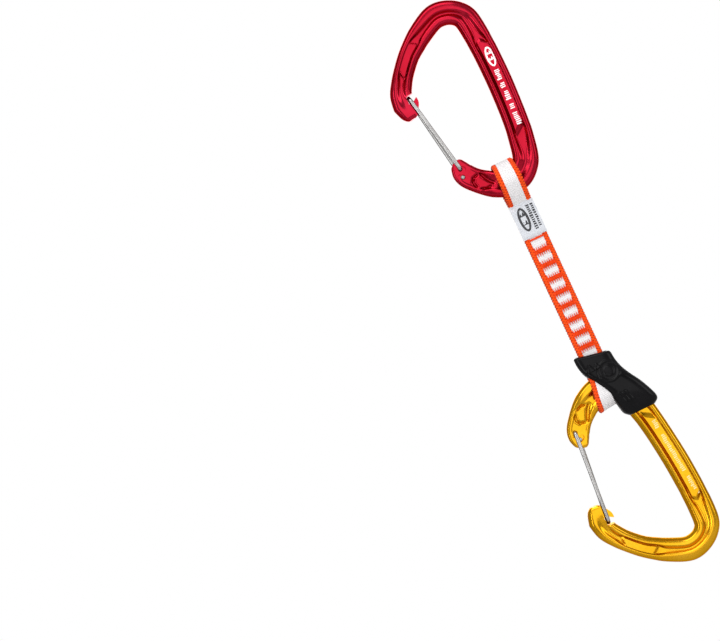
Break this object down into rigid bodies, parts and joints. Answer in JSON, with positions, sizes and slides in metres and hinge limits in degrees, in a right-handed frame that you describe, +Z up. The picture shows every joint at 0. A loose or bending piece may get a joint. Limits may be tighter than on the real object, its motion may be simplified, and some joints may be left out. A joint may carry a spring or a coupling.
{
  "type": "quickdraw",
  "caption": "Climbing quickdraw: two wire-gate carabiners of I-section joined by a flat sewn sling, with a rubber keeper on the rope-end carabiner",
  "frame": {"origin": "the inner apex of the upper carabiner, the point that hangs on a bolt hanger", "axes": "+Z up along the sling, +X toward the carabiners' spines, -Y toward the face that carries the label"},
  "size_m": [0.0566, 0.0196, 0.2817],
  "materials": {
    "red_anodised": "bright red anodised",
    "gold_anodised": "bright gold anodised",
    "wire": "drawn stainless wire",
    "webbing": "woven white tape with orange edges",
    "thread": "orange zigzag stitching",
    "label": "light grey woven label",
    "keeper": "satin moulded rubber"
  },
  "bodies": {
    "top_carabiner": {"top_carabiner_body": "red_anodised"},
    "top_gate": {"top_wire_gate": "wire"},
    "sling": {"sling_webbing": "webbing", "label": "label", "rubber_keeper": "keeper", "bar_tack_01": "thread", "bar_tack_02": "thread", "bar_tack_03": "thread", "bar_tack_04": "thread", "bar_tack_05": "thread", "bar_tack_06": "thread", "bar_tack_07": "thread", "bar_tack_08": "thread", "bar_tack_09": "thread", "bar_tack_10": "thread", "bar_tack_11": "thread", "bar_tack_12": "thread"},
    "bottom_carabiner": {"bottom_carabiner_body": "gold_anodised"},
    "bottom_gate": {"bottom_wire_gate": "wire"}
  },
  "joints": [
    {"name": "top_gate_hinge", "type": "hinge", "parent": "top_carabiner", "child": "top_gate", "pos_m": [-0.0204, 0, -0.06464], "axis": [0, 1, 0], "range_deg": [0, 40], "stiffness_Nm_per_rad": 0.12, "springref_deg": -57.3},
    {"name": "sling_swivel", "type": "hinge", "parent": "top_carabiner", "child": "sling", "pos_m": [-0.0019, 0, -0.0766], "axis": [1, 0, 0], "range_deg": [-160, 160]},
    {"name": "keeper_flex", "type": "hinge", "parent": "sling", "child": "bottom_carabiner", "pos_m": [-0.00637, 0, -0.18196], "axis": [0.9934, 0, 0.1149], "range_deg": [-8, 8], "stiffness_Nm_per_rad": 0.25, "deforming": ["rubber_keeper"]},
    {"name": "bottom_gate_hinge", "type": "hinge", "parent": "bottom_carabiner", "child": "bottom_gate", "pos_m": [-0.02316, 0, -0.19603], "axis": [0, -1, 0], "range_deg": [0, 40], "stiffness_Nm_per_rad": 0.12, "springref_deg": -57.3}
  ]
}
